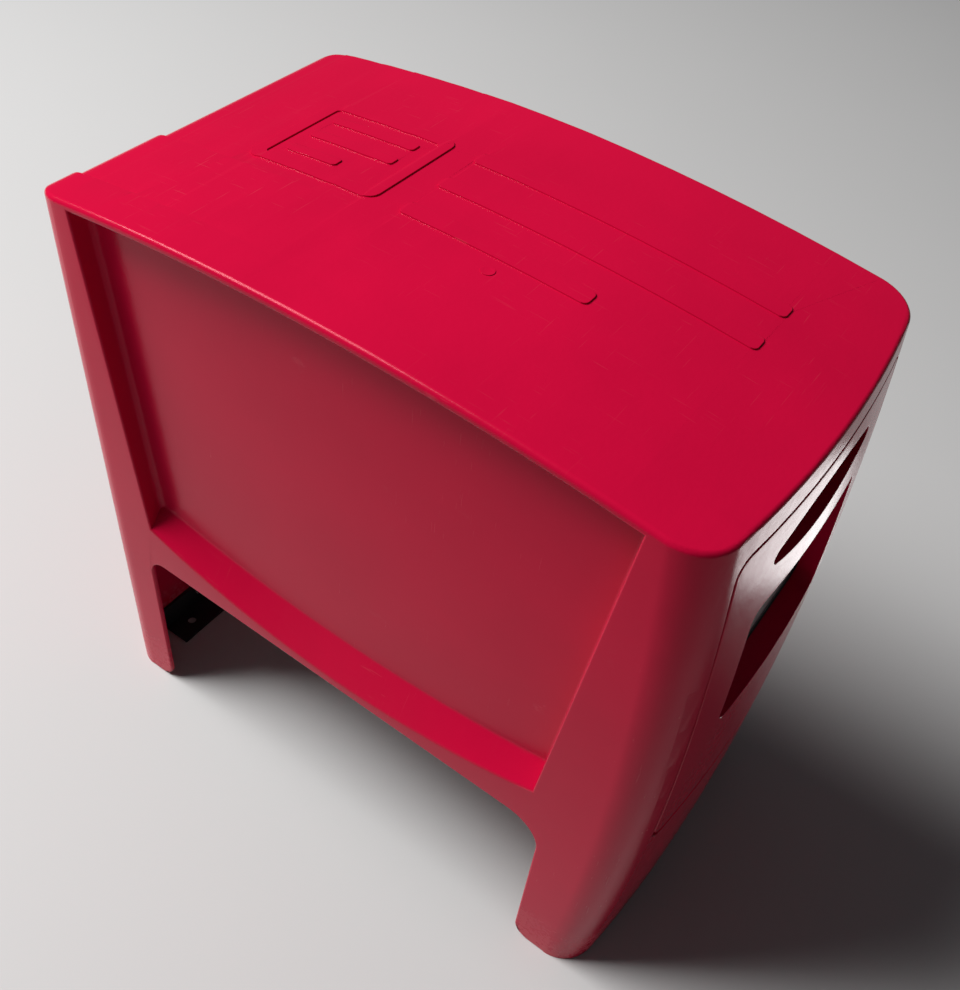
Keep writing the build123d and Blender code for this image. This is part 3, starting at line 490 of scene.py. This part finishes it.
def smooth(piece):
    """Shades curved faces as one, and keeps flat faces flat."""
    select_only(piece)
    bpy.ops.object.shade_smooth_by_angle(angle=SMOOTH_TURN)
    even = piece.modifiers.new("even", "WEIGHTED_NORMAL")
    even.keep_sharp = True
    even.weight = 100
    bpy.ops.object.modifier_apply(modifier=even.name)


def join(piece, added):
    """Makes one skin of the piece and what is added, which is then deleted."""
    select_only(piece)
    union = piece.modifiers.new("union", "BOOLEAN")
    union.operation = "UNION"
    union.solver = "EXACT"
    union.object = added
    bpy.ops.object.modifier_apply(modifier=union.name)
    bpy.data.objects.remove(added)


def place_piece(piece, body, node, material):
    """Gives the piece its finish and its place in the frame."""
    piece.data.materials.clear()
    piece.data.materials.append(material)
    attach(piece, body)
    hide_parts(node)


def paint_node(node, material):
    """Gives its finish to a CAD node that is shown as it is."""
    for place in NODES[node].material_slots:
        place.material = material


def finishes():
    """The materials, made once and shared by the pieces."""
    moulding = bpy.context.scene.box_moulding
    made = bpy.data.materials
    recipes = {
        "shell_plastic": lambda name: moulded_red(name, moulding.red, moulding.red_rough),
        "door_plastic": lambda name: moulded_red(name, moulding.red, moulding.red_rough),
        "black_plastic": lambda name: moulded_black(name, moulding.black, 0.42),
        "powder_coat": lambda name: moulded_black(name, shade(moulding.black, 0.6), 0.55),
        "rubber": soft_rubber,
        "zinc_plating": zinc_plate,
        "galvanised_steel": galvanised_sheet,
        "spring_wire": drawn_wire,
        "ferrite": ferrite,
        "acrylic": clear_sheet,
        "printed_card": printed_card,
    }
    return {name: made.get(name) or make(name) for name, make in recipes.items()}


# ================================================================ shell
def cut_top(piece, point, across):
    """Divides the faces of the top where a plane meets them."""
    bpy.ops.mesh.select_all(action="DESELECT")
    skin = bmesh.from_edit_mesh(piece.data)
    for face in skin.faces:
        face.select_set(max(corner.co.z for corner in face.verts) > TOP_FROM_Z)
    bmesh.update_edit_mesh(piece.data)
    bpy.ops.mesh.bisect(plane_co=point, plane_no=across, threshold=JOINED)


def step_down(piece, step_x, front_y, drop, bands=8, slope=0.005):
    """Lowers the top on the +X side of step_x: by drop at the rear, by nothing at front_y.

    The lowering is in bands along Y, and the step itself slopes over a short way in X.
    """
    select_only(piece)
    bpy.ops.object.mode_set(mode="EDIT")
    bpy.ops.mesh.select_mode(type="VERT")
    for x in (step_x, step_x + slope):
        cut_top(piece, (x, 0, 0), (1, 0, 0))
    levels = [front_y + (SHELL_HIGH.y - front_y) * band / bands for band in range(bands)]
    for y in levels:
        cut_top(piece, (0, y, 0), (0, 1, 0))
    for y in levels:
        bpy.ops.mesh.select_all(action="DESELECT")
        skin = bmesh.from_edit_mesh(piece.data)
        for corner in skin.verts:
            beyond = corner.co.x > step_x + slope - JOINED and corner.co.y > y + JOINED
            corner.select_set(beyond and corner.co.z > TOP_FROM_Z)
        bmesh.update_edit_mesh(piece.data)
        bpy.ops.transform.translate(value=(0, 0, -drop / bands))
    bpy.ops.object.mode_set(mode="OBJECT")


def gate_mark(radius, high):
    """The small round mark where the mould was filled."""
    above = Vector((GATE_X, GATE_Y, 1.0))
    hit, point, *_ = NODES["body_shell"].ray_cast(above, Vector((0, 0, -1)))
    if not hit:
        raise RuntimeError("the gate mark lies beside the shell")
    bpy.ops.object.select_all(action="DESELECT")
    bpy.ops.mesh.primitive_cylinder_add(
        vertices=40, radius=radius, depth=2 * high, location=point
    )
    mark = bpy.context.active_object
    bpy.ops.object.transform_apply(location=True, rotation=True, scale=True)
    bpy.ops.object.mode_set(mode="EDIT")
    bpy.ops.mesh.select_mode(type="FACE")
    bpy.ops.mesh.select_all(action="DESELECT")
    skin = bmesh.from_edit_mesh(mark.data)
    for face in skin.faces:
        face.select_set(face.normal.z > 0.9)
    bmesh.update_edit_mesh(mark.data)
    bpy.ops.mesh.inset(thickness=0.3 * radius)
    bpy.ops.mesh.inset(thickness=0.25 * radius)
    bpy.ops.transform.translate(value=(0, 0, -0.7 * high))
    bpy.ops.object.mode_set(mode="OBJECT")
    return mark


def on_side_plane(edge):
    """Whether an edge lies in one of the two flat sides."""
    return all(abs(abs(corner.co.x) - SIDE_X) < ON_PLANE for corner in edge.verts)


def on_front_rim(edge):
    """Whether an edge bounds the bowed front skin, at the door's opening or on the door."""
    middle = (edge.verts[0].co + edge.verts[1].co) / 2
    faces_front = any(face.normal.y < -0.8 for face in edge.link_faces)
    return edge.is_convex and faces_front and middle.y < DOOR_RIM_Y


def on_emblem(edge):
    """Whether an edge belongs to the raised emblem."""
    start = edge.verts[0].co
    inside = (
        abs(start.x) < SIDE_X - EMBLEM_OFF_SIDE and abs(start.y) < SHELL_HIGH.y - EMBLEM_OFF_END
    )
    on_top = min(corner.co.z for corner in edge.verts) > TOP_FROM_Z
    return inside and on_top and max(face.normal.z for face in edge.link_faces) > 0.9


class BOX_OT_shell(bpy.types.Operator):
    """The moulded shell: rounded edges, two shallow steps in the top and the gate mark"""

    bl_idname = "newspaper_box.shell"
    bl_label = "Shell"

    def execute(self, context):
        moulding = context.scene.box_moulding
        shell = closed_copy("body_shell", "shell_moulding")
        steps = moulding.edge_steps
        round_edges(shell, on_side_plane, moulding.side_round, steps)
        round_edges(shell, on_front_rim, moulding.opening_round, steps)
        round_edges(shell, on_emblem, moulding.emblem_round, steps - 1)
        join(shell, gate_mark(moulding.gate_radius, moulding.gate_high))
        for step_x, front_y in TERRACES:
            step_down(shell, step_x, front_y, moulding.terrace_drop)
        place_piece(shell, BOX, "body_shell", finishes()["shell_plastic"])
        smooth(shell)
        return {"FINISHED"}


# ================================================================ door
class BOX_OT_door(bpy.types.Operator):
    """The drop-down door with its grip, window and card"""

    bl_idname = "newspaper_box.door"
    bl_label = "Door"

    def execute(self, context):
        kinds = finishes()
        moulding = context.scene.box_moulding
        door = closed_copy("door_panel", "door_moulding")
        round_edges(door, on_front_rim, moulding.opening_round, moulding.edge_steps)
        place_piece(door, DOOR, "door_panel", kinds["door_plastic"])
        smooth(door)
        grip = closed_copy("grip_cup", "grip_moulding")
        place_piece(grip, DOOR, "grip_cup", kinds["black_plastic"])
        smooth(grip)
        paint_node("window_gasket", kinds["rubber"])
        paint_node("window_lens", kinds["acrylic"])
        paint_node("display_card", kinds["printed_card"])
        paint_node("window_retainer", kinds["black_plastic"])
        paint_node("catch_strike", kinds["zinc_plating"])
        return {"FINISHED"}


# ================================================================ frame, hinge, compartment
class BOX_OT_hardware(bpy.types.Operator):
    """Stop frame, hinge, springs, magnet, pan, rails and anchor angles"""

    bl_idname = "newspaper_box.hardware"
    bl_label = "Hardware"

    def execute(self, context):
        kinds = finishes()
        by_finish = {
            "black_plastic": ["door_frame"],
            "rubber": ["door_seal"],
            "ferrite": ["catch_magnet"],
            "zinc_plating": ["hinge_bracket_left", "hinge_bracket_right"],
            "powder_coat": ["anchor_front", "anchor_rear"],
            "spring_wire": [
                "hinge_pin_left", "hinge_pin_right", "door_spring_left", "door_spring_right",
            ],
            "galvanised_steel": ["floor_pan", "pan_rail_left", "pan_rail_right", "paper_stop"],
        }
        for finish, nodes in by_finish.items():
            for node in nodes:
                paint_node(node, kinds[finish])
        for node in NODES:
            if node.endswith("_screws"):
                paint_node(node, kinds["zinc_plating"])
        return {"FINISHED"}


# ================================================================ stage
def lamp(name, size, power, place, aim, spread=math.pi):
    """A soft rectangular lamp turned towards a point; spread is its cone."""
    bpy.ops.object.light_add(type="AREA", location=place)
    made = bpy.context.active_object
    made.name = name
    made.data.shape = "RECTANGLE"
    made.data.size, made.data.size_y = size
    made.data.energy = power
    made.data.spread = spread
    made.rotation_euler = (Vector(aim) - Vector(place)).to_track_quat("-Z", "Y").to_euler()


class BOX_OT_stage(bpy.types.Operator):
    """Pale floor, soft lamps and the camera"""

    bl_idname = "newspaper_box.stage"
    bl_label = "Stage"

    def execute(self, context):
        stage = context.scene.box_stage
        bpy.ops.object.select_all(action="DESELECT")
        bpy.ops.mesh.primitive_plane_add(size=stage.floor_size, location=(0, 0, 0))
        floor = context.active_object
        floor.name = "floor"
        floor.data.materials.append(matt_floor("floor", stage.floor_colour))
        room = bpy.data.worlds.new("room")
        room.use_nodes = True
        light = room.node_tree.nodes["Background"]
        light.inputs["Color"].default_value = paint(stage.room_colour)
        light.inputs["Strength"].default_value = stage.room_strength
        context.scene.world = room
        key_size = (stage.key_size, stage.key_size)
        lamp("key_lamp", key_size, stage.key_power, stage.key_place, BOX_MIDDLE)
        fill_size = (stage.fill_size, stage.fill_size / 2)
        lamp(
            "fill_lamp", fill_size, stage.fill_power, stage.fill_place, DOOR_TOP,
            stage.fill_spread,
        )
        bpy.ops.object.camera_add(location=stage.camera_place, rotation=stage.camera_turn)
        camera = context.active_object
        camera.data.lens = stage.camera_lens
        context.scene.camera = camera
        context.scene.view_settings.view_transform = "Standard"
        return {"FINISHED"}


# ================================================================ panel and running
class BOX_PT_panel(bpy.types.Panel):
    """The newspaper box's settings and its pieces"""

    bl_label = "Newspaper box"
    bl_idname = "BOX_PT_panel"
    bl_space_type = "VIEW_3D"
    bl_region_type = "UI"
    bl_category = "Newspaper box"

    def draw(self, context):
        for operator in OPERATORS:
            self.layout.operator(operator.bl_idname)
        for kind in GROUPS:
            group = getattr(context.scene, kind)
            column = self.layout.column()
            for name in group.__annotations__:
                column.prop(group, name)


OPERATORS = (BOX_OT_shell, BOX_OT_door, BOX_OT_hardware, BOX_OT_stage)
GROUPS = {"box_moulding": MouldingSettings, "box_stage": StageSettings}


def register():
    """Makes the settings, the operators and the panel known to Blender."""
    for kind in (*GROUPS.values(), *OPERATORS, BOX_PT_panel):
        bpy.utils.register_class(kind)
    for name, group in GROUPS.items():
        setattr(bpy.types.Scene, name, PointerProperty(type=group))


def unregister():
    """Takes them away again."""
    for name in GROUPS:
        delattr(bpy.types.Scene, name)
    for kind in reversed((*GROUPS.values(), *OPERATORS, BOX_PT_panel)):
        bpy.utils.unregister_class(kind)


def main():
    """Builds the box and its stage."""
    register()
    bpy.ops.newspaper_box.shell()
    bpy.ops.newspaper_box.door()
    bpy.ops.newspaper_box.hardware()
    bpy.ops.newspaper_box.stage()


if __name__ == "__main__":
    main()
